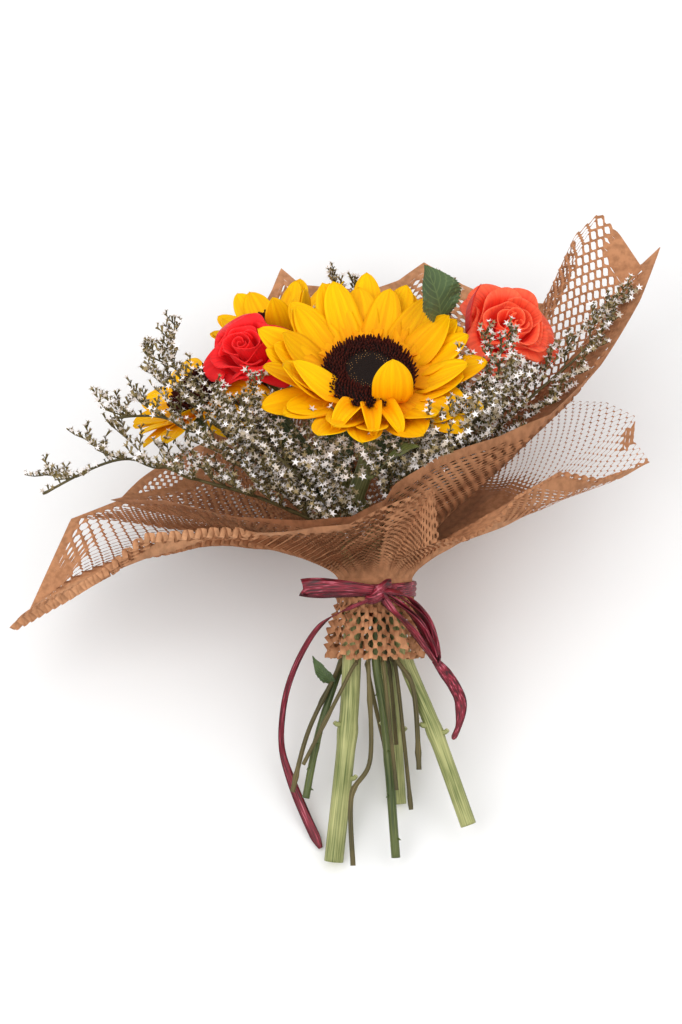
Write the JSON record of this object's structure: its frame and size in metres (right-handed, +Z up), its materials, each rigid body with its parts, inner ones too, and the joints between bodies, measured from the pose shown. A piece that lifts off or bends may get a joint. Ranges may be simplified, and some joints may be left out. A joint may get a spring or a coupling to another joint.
{
  "type": "mixed flower bouquet",
  "caption": "Hand-tied bouquet of sunflowers, roses and white statice in nested honeycomb kraft paper collars, tied with a burgundy raffia ribbon and lying on its back.",
  "frame": {"origin": "centre of the footprint on the ground under the lying bouquet", "axes": "+Z up, with the bouquet's front face looking up; +Y along the ground from the stem ends toward the flowers; +X to the right as the front face is seen"},
  "size_m": [0.4098, 0.4092, 0.2015],
  "materials": {
    "kraft_paper": "matte expanded honeycomb paper",
    "stem_green": "matte plant stem",
    "rose_green": "matte leaf",
    "disc_brown": "matte fuzzy florets",
    "petal_yellow": "soft satin petal",
    "petal_crimson": "velvety petal",
    "petal_coral": "velvety petal",
    "statice_white": "papery floret",
    "raffia_burgundy": "matte raffia"
  },
  "bodies": {
    "root": {"disc_back": "disc_brown", "disc_front": "disc_brown", "disc_left": "disc_brown", "raffia_tie": "raffia_burgundy", "rays_back": "petal_yellow", "rays_front": "petal_yellow", "rays_left": "petal_yellow", "ribbon_tail_left": "raffia_burgundy", "ribbon_tail_right": "raffia_burgundy", "rose_left": "petal_crimson", "rose_right": "petal_coral", "statice_back_left": "statice_white", "statice_back_right": "statice_white", "statice_centre_front": "statice_white", "statice_left_far": "statice_white", "statice_left_front": "statice_white", "statice_left_mid": "statice_white", "statice_left_top": "statice_white", "statice_right_front": "statice_white", "statice_right_top": "statice_white", "stem_back": "stem_green", "stem_front": "stem_green", "stem_left": "stem_green", "stem_rose_left": "rose_green", "stem_rose_right": "rose_green", "wrap_inner": "kraft_paper", "wrap_outer": "kraft_paper"}
  },
  "joints": []
}
